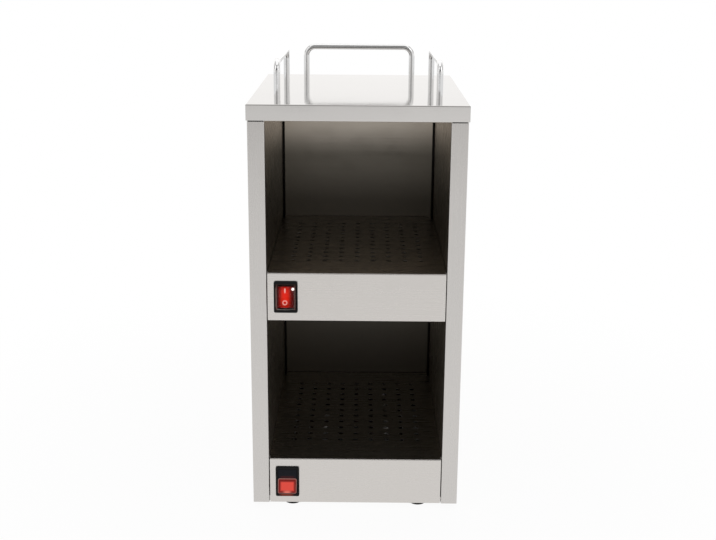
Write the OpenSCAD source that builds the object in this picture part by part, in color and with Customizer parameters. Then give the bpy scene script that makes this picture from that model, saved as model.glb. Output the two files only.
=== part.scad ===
// Two-deck plate warmer cabinet in folded stainless sheet, on four rubber feet.
// The open front faces -Y, X runs to the right and Z points up. The origin lies on the
// floor, under the middle of the overall box. Inside the modules Y counts from the
// front face of the cap's lip and Z from the lower edge of the body.

/* [Cabinet] */
// Width of the top cap, left to right
cap_w = 260; // [250:5:300]
// Depth of the top cap, front to back
cap_d = 330; // [325:5:360]
// Height of the lip folded down around the cap
cap_lip = 20; // [18:1:26]
// Gap between the cap's lip and the body inside it
cap_gap = 0.2; // [0.1:0.1:0.4]
// Thickness of the steel sheet
sheet = 1; // [0.8:0.1:1.2]
// Outside radius of every fold
bend_r = 1.2; // [1.2:0.1:2]
// Clear width between the inner walls
bay_w = 217; // [210:1:220]
// Clear height of each compartment
bay_h = 182; // [170:2:200]
// Gap between a shelf and the inner wall beside it
side_gap = 0.2; // [0.1:0.1:0.4]

/* [Decks] */
// Height of the fascia that closes the front of each deck
fascia_h = 60; // [58:1:70]
// Slit between a fascia and the post beside it
fascia_gap = 1; // [0.5:0.1:1.5]
// Depth of the flange folded back under a fascia
return_l = 10; // [8:1:10]
// Depth of the flanges folded down at the sides and back of a deck
deck_flange = 20; // [16:1:24]
// Diameter of one warm air hole
hole_d = 7; // [5:0.5:9]
// Spacing of the warm air holes
hole_pitch = 20; // [20:1:22]
// Columns of warm air holes
hole_cols = 9; // [5:2:9]
// Rows of warm air holes
hole_rows = 11; // [5:1:11]
// Distance of the first row of holes from the front
hole_front = 62; // [40:1:62]

/* [Rear] */
// Distance of the inner back wall from the front
liner_y = 312; // [308:1:314]
// Slit at each side of the inner back wall
liner_gap = 3; // [2:0.1:4]
// Height of the mains cable gland above the lower edge of the body
gland_z = 24; // [22:1:30]
// Distance of the gland from the middle of the back
gland_x = 40; // [30:1:60]
// Radius of the hole in the gland's seal
cable_r = 3.6; // [3:0.1:4]

/* [Rails] */
// Diameter of the rail rod
rod_d = 8; // [6:0.5:10]
// Height of the rails above the top
rail_h = 46; // [36:1:60]
// Radius of the rod's bends, on its middle line
rail_bend = 12; // [10:1:16]
// Distance of each side rail from the middle
rail_x = 98; // [90:1:100]
// Distance of the side rails' front legs from the front
rail_front = 67; // [50:1:80]
// Distance of the side rails' rear legs from the front
rail_rear = 250; // [220:1:270]
// Half the span of the back rail
back_rail_x = 73; // [60:1:80]
// Distance of the back rail from the front
back_rail_y = 297; // [285:1:300]

/* [Feet] */
// Height that the feet lift the body
foot_h = 8; // [6:1:14]
// Diameter of a foot at its top
foot_d = 24; // [20:1:24]
// Distance of each foot from the middle
foot_x = 80; // [79:1:90]
// Distance of the feet from the front and back edges
foot_inset = 23.5; // [23.5:0.5:30]

/* [Switches] */
// Width of the lower switch's frame
lower_frame_w = 29.6; // [29:0.1:30.4]
// Height of the lower switch's frame
lower_frame_h = 40.4; // [39.4:0.2:41]
// Width of the upper switch's frame
upper_frame_w = 28.8; // [28:0.1:30]
// Height of the upper switch's frame
upper_frame_h = 39.6; // [38:0.2:41]
// Thickness of the switch frames' rims
bezel_t = 2.2; // [2:0.1:2.6]
// Distance of the switches from the middle of the front
switch_x = 85.5; // [82:0.5:88]
// Height of the lower switch above the lower edge of its fascia
lower_switch_z = 29.2; // [29:0.1:31]
// Height of the upper switch above the lower edge of its fascia
upper_switch_z = 30.2; // [29:0.1:31]
// Width of the lower rocker
lower_rocker_w = 23.4; // [22:0.1:23.4]
// Radius swept by the lower rocker's ends
lower_rocker_r = 16.2; // [15.5:0.1:16.2]
// Height of the lower rocker's crease above its pivot
lower_crease = 5; // [3:0.5:5]
// Width of the upper rocker
upper_rocker_w = 19.4; // [18:0.1:19.4]
// Radius swept by the upper rocker's ends
upper_rocker_r = 13.3; // [12.5:0.1:13.3]
// Slope of each part of a rocker, and half of its travel
rocker_tilt = 10; // [8:1:10]
// Height of the clear splash cover above the frame
cover_h = 6.8; // [6.8:0.1:8]

/* [Heating] */
// Diameter of the heating tube
tube_d = 8; // [6.5:0.1:8.5]
// Distance between neighbouring legs of the heating tube
tube_pitch = 40; // [36:1:40]
// Depth of the heating tube below the deck
tube_drop = 28; // [26:1:30]
// Diameter of the wires
wire_d = 2.5; // [2:0.1:2.8]

/* [Hidden] */
$fn = 48;

t = sheet;
shell_x = cap_w / 2 - t - cap_gap;
face_y = t + cap_gap;
rear_y = cap_d - t - cap_gap;
bay_x = bay_w / 2;
deck_x = bay_x - side_gap;
deck_back = liner_y - side_gap;
fascia_x = bay_x - fascia_gap;
upper_z = fascia_h + bay_h;
deck_top = [fascia_h, upper_z + fascia_h];
ceiling_z = 2 * (fascia_h + bay_h);
cap_top = ceiling_z + cap_lip;
body_top = cap_top - bend_r - cap_gap;
UPPER = 1;
LOWER = 0;

// Plate edges and flange heights
pan_z = t;
pan_flange = 7;
pan_front = 3.8;
post_trim = 14;
lip_reveal = 1.2;
post_drop = 0.2;
rear_flange = 16;
ceiling_flange = cap_lip - t;
ceiling_front = 3.4;
deck_front = 10;
deck_rear = liner_y - 14;
cover_return = 12;
liner_low = deck_top[LOWER] - deck_flange;
wire_hole_z = upper_z + 26;
wire_hole_r = 8;
flange_half = shell_x - rear_flange - 0.8;

// Screw radii
m3 = 1.5;
m4 = 2;
m5 = 2.5;
fit = 0.05;
pan_screw_x = 70;
pan_screw_y = [8.2, rear_y - 7];
back_screw_x = shell_x - 8.8;
back_screw_z = [30, 180, 330, 470];
cover_screw_x = deck_x - 6.3;
side_fix_y = [40, 160, 280];
rivet_r = 1.6;
rivet_drop = 12;
ceiling_rivet_z = ceiling_z + 8;

// Switch parts, the lower switch's value first
frame_w = [lower_frame_w, upper_frame_w];
frame_h = [lower_frame_h, upper_frame_h];
frame_z = [lower_switch_z, upper_switch_z];
rocker_w = [lower_rocker_w, upper_rocker_w];
rocker_r = [lower_rocker_r, upper_rocker_r];
crease_z = [lower_crease, 0];
open_w = [for (w = rocker_w) w + 0.8];
open_h = [for (r = rocker_r) 2 * r + 0.8];
cut_w = [26.8, 22.4];
cut_h = [35.6, 30.4];
cut_gap = 0.2;
housing_l = 24;
pocket_y = 7;
pivot_r = 1.5;
crown_y = [2.7, 3];
lens_w = lower_rocker_w;
lens_l = 18.6;
lens_off = 0.9;
lens_seat = 1.4;
lens_rise = 0.5;
cover_wall = 0.9;
cover_w = open_w[UPPER] + 4;
cover_l = open_h[UPPER] + 3;
cover_lip = 0.8;
cover_seat = 1;
blade = [0.8, 9, 6.3];
blade_x = 5.5;
blade_z = 8;
blade_mid = 30;
blade_end = face_y + housing_l + blade[1];

// Heating parts
leg_front = 90;
leg_rear = 250;
leg_end = 272;
leg_x = [for (i = [-1.5:1:1.5]) i * tube_pitch];
tube_r = tube_d / 2;
bar_t = 1.5;
bar_w = 14;
bar_y = [110, 230];
clip_t = 0.8;
thermo = [95, 150];
thermo_pitch = 24;
thermo_l = 11;

// Gland parts
thread_r = 7.9;
gland_in = 10;
gland_hex = 5;
seal_y = [4.2, 14.2];
gland_l = 19.2;
cover_reach = bezel_t + cover_h - face_y;
rear_reach = rear_y + gland_l;
mid_y = (rear_reach - cover_reach) / 2;

// Terminal block
block = [gland_x, 285];
pole = 12;
block_z = pan_z + t;
clamp_z = block_z + 7;
earth = [75, 258];

// Routes of the wires, in millimetres, through points chosen by hand
wire_r = wire_d / 2;
floor_z = block_z + wire_r + 0.1;
in_z = blade_mid - blade_z;
out_z = blade_mid + blade_z;
sw_l = -switch_x - blade_x;
sw_r = -switch_x + blade_x;
tip = blade_end + 0.3;
live_in = [[block[0] - pole, 279, clamp_z], [28, 268, clamp_z], [20, 258, floor_z],
    [-80, 258, floor_z], [-92, 246, floor_z], [-92, 60, floor_z], [sw_l, 46, in_z - 2],
    [sw_l, tip, in_z]];
neutral_in = [[block[0], 279, clamp_z], [40, 266, clamp_z], [34, 252, floor_z],
    [-78, 252, floor_z], [-86, 242, floor_z], [-86, 64, floor_z], [sw_r, 46, in_z - 2],
    [sw_r, tip, in_z]];
live_out = [[sw_l, tip, out_z], [sw_l, 44, out_z + 2], [-84, 52, 48], [80, 52, 48],
    [93, 62, 46], [93, 118, 40], [95, 140, 32], [95, 146, 33], [95, 146, 39.7]];
heater_in = [[95, 154, 39.7], [95, 154, 33], [95, 163, 32], [94, 176, 36], [94, 262, 36],
    [88, 292, 33], [66, 297, 32], [60, 294, 32], [60, 286.4, 32]];
neutral_out = [[sw_r, tip, out_z], [sw_r, 44, out_z], [-98, 60, 40], [-98, 264, 38],
    [-90, 292, 34], [-66, 297, 32], [-60, 294, 32], [-60, 286.4, 32]];
earth_lead = [[block[0] + pole, 279, clamp_z], [52, 267, clamp_z], [60, 258, 5],
    [earth[0] - 5, earth[1], 4.8]];
riser_live = [[block[0] - pole, 291, clamp_z], [28, 299, clamp_z], [24, 306, 10], [6, 315, 13],
    [-4, 320, 30], [-4, 320, wire_hole_z - 14], [-4, 316, wire_hole_z], [-4, 302, wire_hole_z],
    [-14, 295, 264], [-80, 291, 258], [-92, 276, 252], [-92, 60, 252],
    [sw_l, 46, upper_z + in_z - 2], [sw_l, tip, upper_z + in_z]];
riser_neutral = [[block[0], 291, clamp_z], [40, 299, clamp_z], [36, 306, 10], [16, 315, 13],
    [4, 320, 30], [4, 320, wire_hole_z - 14], [4, 316, wire_hole_z], [4, 300, wire_hole_z],
    [-6, 287, 262], [-76, 284, 256], [-86, 270, 252], [-86, 64, 252],
    [sw_r, 46, upper_z + in_z - 2], [sw_r, tip, upper_z + in_z]];
function raised(route) = [for (p = route) p + [0, 0, upper_z]];

function unit(v) = v / norm(v);

// One pass of cutting the corners off a route
function rounded(p) = [p[0], for (i = [0:len(p) - 2]) for (k = [0.25, 0.75])
    if (!(i == 0 && k < 0.5) && !(i == len(p) - 2 && k > 0.5)) p[i] * (1 - k) + p[i + 1] * k,
    p[len(p) - 1]];

function tangent(p, i) = unit(p[min(i + 1, len(p) - 1)] - p[max(i - 1, 0)]);

// A side direction carried along the route without twisting
function side_start(d) = unit(cross(d, abs(d[2]) > 0.7 ? [1, 0, 0] : [0, 0, 1]));
function carried(s, d) = unit(s - d * (s * d));

// Puts a part in the shared frame
module placed() {
    translate([0, -mid_y, foot_h]) children();
}

// Profile drawn in X and Z, extruded from y0 to y1
module along_y(y0, y1) {
    translate([0, y1, 0]) rotate([90, 0, 0]) linear_extrude(y1 - y0) children();
}

// Profile drawn in Y and Z, extruded from x0 to x1
module along_x(x0, x1) {
    translate([x0, 0, 0]) rotate([90, 0, 90]) linear_extrude(x1 - x0) children();
}

module box(low, high) {
    translate(low) cube(high - low);
}

module rod_y(x, z, r, y0, y1) {
    translate([x, y1, z]) rotate([90, 0, 0]) cylinder(r = r, h = y1 - y0);
}

module rod_x(y, z, r, x0, x1) {
    translate([x0, y, z]) rotate([0, 90, 0]) cylinder(r = r, h = x1 - x0);
}

module both_sides() {
    for (side = [0, 1]) mirror([side, 0, 0]) children();
}

// One straight leg of folded sheet between two points of its middle line
module leg(a, b) {
    d = unit(b - a);
    across = [abs(d[1]), abs(d[0])] * t / 2;
    low = [min(a[0], b[0]), min(a[1], b[1])] - across;
    high = [max(a[0], b[0]), max(a[1], b[1])] + across;
    translate(low) square(high - low);
}

// One square fold between the legs before and after point b
module fold(a, b, c) {
    d1 = unit(b - a);
    d2 = unit(c - b);
    m = b + (d2 - d1) * (bend_r - t / 2);
    q = m + (d1 - d2) * bend_r;
    intersection() {
        difference() {
            translate(m) circle(r = bend_r);
            translate(m) circle(r = bend_r - t);
        }
        translate([min(m[0], q[0]), min(m[1], q[1])]) square([bend_r, bend_r]);
    }
}

// Sheet folded at every inner point of a path that has square corners
module folded(path) {
    last = len(path) - 1;
    for (i = [0:last - 1]) {
        d = unit(path[i + 1] - path[i]) * (bend_r - t / 2);
        leg(path[i] + (i > 0 ? d : [0, 0]), path[i + 1] - (i < last - 1 ? d : [0, 0]));
    }
    for (i = [1:1:last - 1]) fold(path[i - 1], path[i], path[i + 1]);
}

// Rectangle below zero with rounded upper corners
module crowned(a, b, h, r) {
    translate([a, -h]) square([b - a, h - r]);
    translate([a + r, -h]) square([b - a - 2 * r, h]);
    for (x = [a + r, b - r]) translate([x, -r]) circle(r = r);
}

// Block below zero whose upper edges are rounded on all four sides
module round_block(x, y0, y1, h, r) {
    intersection() {
        along_y(y0, y1) crowned(-x, x, h, r);
        along_x(-x, x) crowned(y0, y1, h, r);
    }
}

// Sheet tray with its plate on top and its lips folded down
module tray(x, y0, y1, h) {
    difference() {
        round_block(x, y0, y1, h, bend_r);
        translate([0, 0, -t]) round_block(x - t, y0 + t, y1 - t, h, bend_r - t);
    }
}

// Slot along X with round ends, as a cutter
module slot(x, y, l, w, h) {
    translate([x, y, 0]) {
        translate([-l / 2 + w / 2, -w / 2, 0]) cube([l - w, w, h]);
        for (s = [-1, 1]) translate([s * (l - w) / 2, 0, 0]) cylinder(d = w, h = h);
    }
}

// Rectangle in X and Z with round corners
module soft_rect(w, h, r) {
    translate([-w / 2 + r, -h / 2]) square([w - 2 * r, h]);
    translate([-w / 2, -h / 2 + r]) square([w, h - 2 * r]);
    for (x = [-1, 1], y = [-1, 1]) translate([x * (w / 2 - r), y * (h / 2 - r)]) circle(r = r);
}

module at_rail_legs() {
    for (x = [-rail_x, rail_x], y = [rail_front, rail_rear]) translate([x, y, 0]) children();
    for (x = [-back_rail_x, back_rail_x]) translate([x, back_rail_y, 0]) children();
}

module at_feet() {
    for (x = [-foot_x, foot_x], y = [foot_inset, cap_d - foot_inset]) {
        translate([x, y, 0]) children();
    }
}

module at_pan_screws() {
    for (x = [-pan_screw_x, pan_screw_x], y = pan_screw_y) translate([x, y, 0]) children();
}

module at_switch(k) {
    translate([-switch_x, face_y, deck_top[k] - fascia_h + frame_z[k]]) children();
}

// Sheet metal

module top_cap() {
    color("gainsboro") placed() difference() {
        translate([0, 0, cap_top]) tray(cap_w / 2, 0, cap_d, cap_lip - lip_reveal);
        at_rail_legs() translate([0, 0, cap_top - 3 * t]) cylinder(r = m5 + 0.2, h = 5 * t);
    }
}

module ceiling_panel() {
    color("silver") placed() difference() {
        translate([0, 0, ceiling_z]) mirror([0, 0, 1]) {
            tray(deck_x, ceiling_front, deck_back, ceiling_flange);
        }
        both_sides() for (y = side_fix_y) {
            rod_x(y, ceiling_rivet_z, rivet_r + fit, deck_x - 3, deck_x + 3);
        }
    }
}

// Side panel folded from one sheet: rear flange, outer wall, front post and inner wall
module side_panel() {
    x_out = shell_x - t / 2;
    x_in = bay_x + t / 2;
    y_front = face_y + t / 2;
    y_rear = rear_y - 1.5 * t;
    difference() {
        linear_extrude(body_top) folded([[shell_x - rear_flange, y_rear], [x_out, y_rear],
            [x_out, y_front], [x_in, y_front], [x_in, liner_y + t]]);
        box([bay_x - 1, pan_front - 0.2, -1], [bay_x + t + 0.5, rear_y - 2, post_trim]);
        box([bay_x - 1, 0, ceiling_z - post_drop], [shell_x - bend_r, face_y + bend_r, cap_top]);
        for (z = back_screw_z) rod_y(back_screw_x, z, m3 + 0.1, rear_y - 3, rear_y);
        for (y = side_fix_y, z = [deck_top[0] - rivet_drop, deck_top[1] - rivet_drop,
            ceiling_rivet_z]) rod_x(y, z, rivet_r + fit, bay_x - 1, bay_x + t + 1);
    }
}

module right_side_panel() {
    color("gainsboro") placed() side_panel();
}

module left_side_panel() {
    color("gainsboro") placed() mirror([1, 0, 0]) side_panel();
}

module back_panel() {
    x_vent = 55;
    y_mid = rear_y - t / 2;
    color("silver") placed() difference() {
        union() {
            box([-shell_x, rear_y - t, bend_r], [shell_x, rear_y, body_top]);
            along_x(-flange_half, flange_half) folded([[rear_y - return_l, t / 2],
                [y_mid, t / 2], [y_mid, 2 * bend_r]]);
            both_sides() box([flange_half + 0.5, rear_y - t, 0], [shell_x, rear_y, bend_r]);
        }
        for (x = [-x_vent, x_vent], z = [46, 54]) rear_slot(x, z);
        for (x = [-x_vent, x_vent], z = [8:8:40]) rear_slot(x, upper_z + z);
        rod_y(gland_x, gland_z, thread_r + 0.2, rear_y - 3, rear_y + 1);
        both_sides() for (z = back_screw_z) rod_y(back_screw_x, z, m4, rear_y - 3, rear_y + 1);
        for (x = [-pan_screw_x, pan_screw_x]) translate([x, pan_screw_y[1], -1]) {
            cylinder(r = m4 + 0.1, h = 3);
        }
    }
}

module rear_slot(x, z) {
    translate([0, rear_y + 1, z]) rotate([90, 0, 0]) slot(x, 0, 70, 4, 3);
}

module inner_back_panel() {
    y_mid = liner_y + t / 2;
    color("silver") placed() difference() {
        along_x(liner_gap - bay_x, bay_x - liner_gap) folded([[y_mid, liner_low],
            [y_mid, ceiling_z - side_gap - t / 2], [liner_y + 12, ceiling_z - side_gap - t / 2]]);
        rod_y(0, wire_hole_z, wire_hole_r, liner_y - 1, liner_y + 3);
    }
}

module bottom_plate() {
    color("silver") placed() difference() {
        translate([0, 0, pan_z]) mirror([0, 0, 1]) {
            tray(shell_x - t - side_gap, pan_front, rear_y - 2 * t - bend_r, pan_flange);
        }
        for (x = [-45, 45], y = [130:12:202]) translate([0, 0, pan_z - 1]) slot(x, y, 60, 4, 3);
        at_feet() cylinder(r = m5 + 0.1, h = 4);
        at_pan_screws() cylinder(r = m4 + 0.1, h = 4);
    }
}

// Perforated deck with its fascia and flanges, one folded sheet
module deck(k) {
    top = deck_top[k];
    low = top - fascia_h;
    z_mid = top - t / 2;
    x_mid = deck_x - t / 2;
    side_low = k == UPPER ? low + t / 2 : top - deck_flange;
    side_end = k == UPPER ? [[x_mid - cover_return, side_low]] : [];
    half = concat(side_end, [[x_mid, side_low], [x_mid, z_mid]]);
    mirrored = [for (i = [len(half) - 1:-1:0]) [-half[i][0], half[i][1]]];
    difference() {
        union() {
            along_x(-fascia_x, fascia_x) folded([[face_y + return_l, low + t / 2],
                [face_y + t / 2, low + t / 2], [face_y + t / 2, z_mid], [deck_front, z_mid]]);
            along_y(deck_front, deck_rear) folded(concat(half, mirrored));
            along_x(2 * bend_r - deck_x, deck_x - 2 * bend_r) folded([[deck_rear, z_mid],
                [deck_back - t / 2, z_mid], [deck_back - t / 2, top - deck_flange]]);
        }
        for (i = [0:hole_cols - 1], j = [0:hole_rows - 1]) {
            x = (i - (hole_cols - 1) / 2) * hole_pitch;
            y = hole_front + j * hole_pitch;
            translate([x, y, top - 2 * t]) cylinder(d = hole_d, h = 3 * t);
        }
        at_switch(k) box([-cut_w[k] / 2 - cut_gap, -1, -cut_h[k] / 2 - cut_gap],
            [cut_w[k] / 2 + cut_gap, 2 * t, cut_h[k] / 2 + cut_gap]);
        both_sides() for (y = side_fix_y) {
            rod_x(y, top - rivet_drop, rivet_r + fit, deck_x - 3, deck_x + 3);
        }
        if (k == LOWER) {
            for (x = [-pan_screw_x, pan_screw_x]) translate([x, pan_screw_y[0], -1]) {
                cylinder(r = m4 + 0.1, h = 3);
            }
        } else {
            both_sides() for (y = side_fix_y) translate([cover_screw_x, y, low - 1]) {
                cylinder(r = m3 + fit, h = 3);
            }
        }
    }
}

module upper_deck() {
    color("gainsboro") placed() deck(UPPER);
}

module lower_deck() {
    color("gainsboro") placed() deck(LOWER);
}

module upper_deck_cover() {
    color("silver") placed() difference() {
        translate([0, 0, upper_z - t]) linear_extrude(t) {
            translate([0, (6 + deck_back) / 2]) soft_rect(2 * deck_x - 0.6, deck_back - 7, 3);
        }
        both_sides() for (y = side_fix_y) translate([cover_screw_x, y, upper_z - 2 * t]) {
            cylinder(r = m4, h = 3 * t);
        }
    }
}

// Rails

// Rod bent twice: two legs on the top and a bar between them, along Y
module rail(y0, y1) {
    r = rod_d / 2;
    top = cap_top + rail_h - r;
    difference() {
        union() {
            for (y = [y0, y1]) translate([0, y, cap_top]) {
                cylinder(r = r, h = rail_h - r - rail_bend);
            }
            rod_y(0, top, r, y0 + rail_bend, y1 - rail_bend);
            rail_corner(y0 + rail_bend, top - rail_bend, 90);
            rail_corner(y1 - rail_bend, top - rail_bend, 0);
        }
        for (y = [y0, y1]) translate([0, y, cap_top - 1]) cylinder(r = m5 + fit, h = 16);
    }
}

// Quarter bend about the X direction
module rail_corner(y, z, from) {
    translate([0, y, z]) rotate([90, 0, 90]) rotate([0, 0, from]) {
        rotate_extrude(angle = 90) translate([rail_bend, 0]) circle(r = rod_d / 2);
    }
}

module side_rail_right() {
    color("lightgray") placed() translate([rail_x, 0, 0]) rail(rail_front, rail_rear);
}

module side_rail_left() {
    color("lightgray") placed() translate([-rail_x, 0, 0]) rail(rail_front, rail_rear);
}

module back_rail() {
    color("lightgray") placed() translate([0, back_rail_y, 0]) rotate([0, 0, 90]) {
        rail(-back_rail_x, back_rail_x);
    }
}

module rail_washers() {
    color("silver") placed() at_rail_legs() translate([0, 0, cap_top - 2 * t]) {
        difference() {
            cylinder(r = 6, h = t);
            translate([0, 0, -t]) cylinder(r = m5 + 0.2, h = 3 * t);
        }
    }
}

module rail_screws() {
    color("silver") placed() at_rail_legs() translate([0, 0, cap_top - 2 * t]) {
        translate([0, 0, -3.5]) cylinder(r = 4.6, h = 3.5, $fn = 6);
        cylinder(r = m5, h = 2 * t + 12);
    }
}

// Feet

module foot(sx, y) {
    top = pan_z;
    color("dimgray") placed() translate([sx * foot_x, y, 0]) rotate_extrude() {
        polygon([[5, -foot_h], [foot_d / 2 - 1.8, -foot_h], [foot_d / 2 - 1, 0.8 - foot_h],
            [foot_d / 2, top - 1], [foot_d / 2 - 1, top], [m5 + 0.2, top],
            [m5 + 0.2, 4 - foot_h], [5, 4 - foot_h]]);
    }
}

module foot_front_left() {
    foot(-1, foot_inset);
}

module foot_front_right() {
    foot(1, foot_inset);
}

module foot_rear_left() {
    foot(-1, cap_d - foot_inset);
}

module foot_rear_right() {
    foot(1, cap_d - foot_inset);
}

module foot_screws() {
    color("silver") placed() at_feet() {
        difference() {
            translate([0, 0, 1.5 - foot_h]) cylinder(r = 4.4, h = 2.5);
            translate([-3.5, -0.5, 1 - foot_h]) cube([7, 1, 1.5]);
        }
        translate([0, 0, 4 - foot_h]) cylinder(r = m5, h = foot_h + 4);
    }
}

module foot_nuts() {
    color("silver") placed() at_feet() translate([0, 0, pan_z + t]) difference() {
        cylinder(r = 4.6, h = 4, $fn = 6);
        translate([0, 0, -1]) cylinder(r = m5 + fit, h = 6);
    }
}

// Screws and rivets

// Pan head screw whose head hangs below zero and whose shank points up
module pan_screw(r, l) {
    difference() {
        union() {
            translate([0, 0, -0.8]) cylinder(r = 2 * r - 0.2, h = 0.8);
            translate([0, 0, -2]) cylinder(r1 = 1.4 * r, r2 = 2 * r - 0.2, h = 1.2);
            cylinder(r = r, h = l);
        }
        for (a = [0, 90]) rotate([0, 0, a]) translate([-r, -0.4, -3]) cube([2 * r, 0.8, 2.1]);
    }
}

module bottom_plate_screws() {
    color("silver") placed() at_pan_screws() pan_screw(m4, 7);
}

module back_panel_screws() {
    color("silver") placed() both_sides() for (z = back_screw_z) {
        translate([back_screw_x, rear_y, z]) rotate([90, 0, 0]) pan_screw(m3, 8);
    }
}

module deck_cover_screws() {
    color("silver") placed() both_sides() for (y = side_fix_y) {
        translate([cover_screw_x, y, upper_z - t]) pan_screw(m3, 7);
    }
}

module deck_rivets() {
    x_in = deck_x - t - 0.05;
    x_out = bay_x + t + 0.05;
    color("silver") placed() both_sides() for (y = side_fix_y, z = [deck_top[0] - rivet_drop,
        deck_top[1] - rivet_drop, ceiling_rivet_z]) {
        rod_x(y, z, rivet_r, x_in, x_out);
        rod_x(y, z, 2 * rivet_r, x_in - 0.8, x_in);
        rod_x(y, z, 1.7 * rivet_r, x_out, x_out + 1.2);
    }
}

// Switches. Around a switch the origin is the rocker's pivot, on the fascia's front face.

// Chamfered front of the frame, as the common part of three extrusions
module bezel(k) {
    c = 0.7;
    w = frame_w[k] / 2;
    h = frame_h[k] / 2;
    intersection() {
        along_y(-bezel_t, 0) soft_rect(2 * w, 2 * h, 2.5);
        along_x(-w, w) polygon([[0, -h], [c - bezel_t, -h], [-bezel_t, c - h],
            [-bezel_t, h - c], [c - bezel_t, h], [0, h]]);
        translate([0, 0, -h]) linear_extrude(2 * h) polygon([[-w, 0], [-w, c - bezel_t],
            [c - w, -bezel_t], [w - c, -bezel_t], [w, c - bezel_t], [w, 0]]);
    }
}

// Spring wing that holds the housing behind the sheet
module wing(h) {
    along_x(-5, 5) polygon([[t + 0.1, h - 0.5], [t + 0.1, h + 1.4], [t + 6, h], [t + 6, h - 0.5]]);
}

module switch_frame(k) {
    color("black") placed() at_switch(k) difference() {
        union() {
            bezel(k);
            along_y(0, housing_l) soft_rect(cut_w[k], cut_h[k], 1);
            wing(cut_h[k] / 2);
            mirror([0, 0, 1]) wing(cut_h[k] / 2);
        }
        along_y(-bezel_t - 1, pocket_y) soft_rect(open_w[k], open_h[k], 1.2);
        rod_x(0, 0, pivot_r + fit, -cut_w[k] / 2 - 0.1, cut_w[k] / 2 + 0.1);
        if (k == UPPER) along_y(-bezel_t - 1, cover_lip - bezel_t) {
            soft_rect(cover_w + 2 * cover_seat + 0.2, cover_l + 2 * cover_seat + 0.2, 3.6);
        }
    }
}

module switch_frame_upper() {
    switch_frame(UPPER);
}

module switch_frame_lower() {
    switch_frame(LOWER);
}

// Rocker whose two parts slope away from its crease, turning on stub pins
module rocker_shape(k) {
    reach = 20;
    z = crease_z[k];
    y = -crown_y[k];
    top = y - (reach - z) * tan(rocker_tilt);
    bottom = y - (reach + z) * tan(rocker_tilt);
    along_x(-rocker_w[k] / 2, rocker_w[k] / 2) intersection() {
        circle(r = rocker_r[k]);
        polygon([[y, z], [top, reach], [2, reach], [2, -reach], [bottom, -reach]]);
    }
    rod_x(0, 0, pivot_r, 0.1 - cut_w[k] / 2, cut_w[k] / 2 - 0.1);
}

module pressed_in() {
    rotate([-rocker_tilt, 0, 0]) children();
}

// Lens on the rocker's lower part, or its seat when it is grown
module lens_shape(grow) {
    translate([0, -crown_y[LOWER], crease_z[LOWER]]) rotate([-rocker_tilt, 0, 0]) {
        translate([0, 0, -lens_off - lens_l / 2]) along_y(-lens_rise, lens_seat + grow) {
            soft_rect(lens_w + 2 * grow, lens_l + 2 * grow, 1.8 + grow);
        }
    }
}

module rocker_upper() {
    color("red") placed() at_switch(UPPER) pressed_in() rocker_shape(UPPER);
}

module rocker_lower() {
    color("black") placed() at_switch(LOWER) pressed_in() difference() {
        rocker_shape(LOWER);
        lens_shape(0.04);
    }
}

module rocker_lens_lower() {
    color("red") placed() at_switch(LOWER) pressed_in() lens_shape(0);
}

// Rounded cap shape of the splash cover, as the common part of three extrusions
module cover_block(w, l, h, r) {
    intersection() {
        along_y(-h, 1) soft_rect(w, l, r - 0.4);
        rotate([90, 0, 0]) translate([0, 0, h]) union() {
            round_block(w / 2, -l / 2, l / 2, h + 1, r);
        }
    }
}

module splash_cover_upper() {
    color("lightgray") placed() at_switch(UPPER) translate([0, -bezel_t, 0]) difference() {
        union() {
            difference() {
                cover_block(cover_w, cover_l, cover_h, 4);
                box([-20, cover_lip, -20], [20, 5, 20]);
            }
            along_y(0, cover_lip) {
                soft_rect(cover_w + 2 * cover_seat, cover_l + 2 * cover_seat, 3.5);
            }
        }
        cover_block(cover_w - 2 * cover_wall, cover_l - 2 * cover_wall, cover_h - cover_wall,
            4 - cover_wall);
    }
}

module switch_terminals(k) {
    z_mid = deck_top[k] - fascia_h + blade_mid;
    color("goldenrod") placed() for (x = [-blade_x, blade_x], z = [-blade_z, blade_z]) {
        translate([x - switch_x, face_y + housing_l, z_mid + z]) difference() {
            translate([-blade[0] / 2, 0, -blade[2] / 2]) cube(blade);
            rod_x(blade[1] - 3, 0, 0.9, -1, 1);
        }
    }
}

module switch_terminals_upper() {
    switch_terminals(UPPER);
}

module switch_terminals_lower() {
    switch_terminals(LOWER);
}

// Heating

module tube_bend(x, y, from) {
    translate([x, y, 0]) rotate([0, 0, from]) rotate_extrude(angle = 180) {
        translate([tube_pitch / 2, 0]) circle(r = tube_r);
    }
}

// Four legs joined by three bends, with both cold ends at the back
module heating_element(k) {
    color("dimgray") placed() translate([0, 0, deck_top[k] - tube_drop]) {
        for (i = [0:3]) {
            rear = i == 0 || i == 3 ? leg_end : leg_rear;
            rod_y(leg_x[i], 0, tube_r, leg_front, rear);
        }
        for (x = [-tube_pitch, tube_pitch]) tube_bend(x, leg_front, 180);
        tube_bend(0, leg_rear, 0);
    }
}

module heating_element_upper() {
    heating_element(UPPER);
}

module heating_element_lower() {
    heating_element(LOWER);
}

// Ceramic bush and blade on each cold end
module element_terminals(k) {
    color("ivory") placed() for (x = [leg_x[0], leg_x[3]]) {
        translate([0, 0, deck_top[k] - tube_drop]) {
            rod_y(x, 0, tube_r - 1, leg_end, leg_end + 4);
            box([x - 3.1, leg_end + 3, -0.4], [x + 3.1, leg_end + 14, 0.4]);
        }
    }
}

module element_terminals_upper() {
    element_terminals(UPPER);
}

module element_terminals_lower() {
    element_terminals(LOWER);
}

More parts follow.
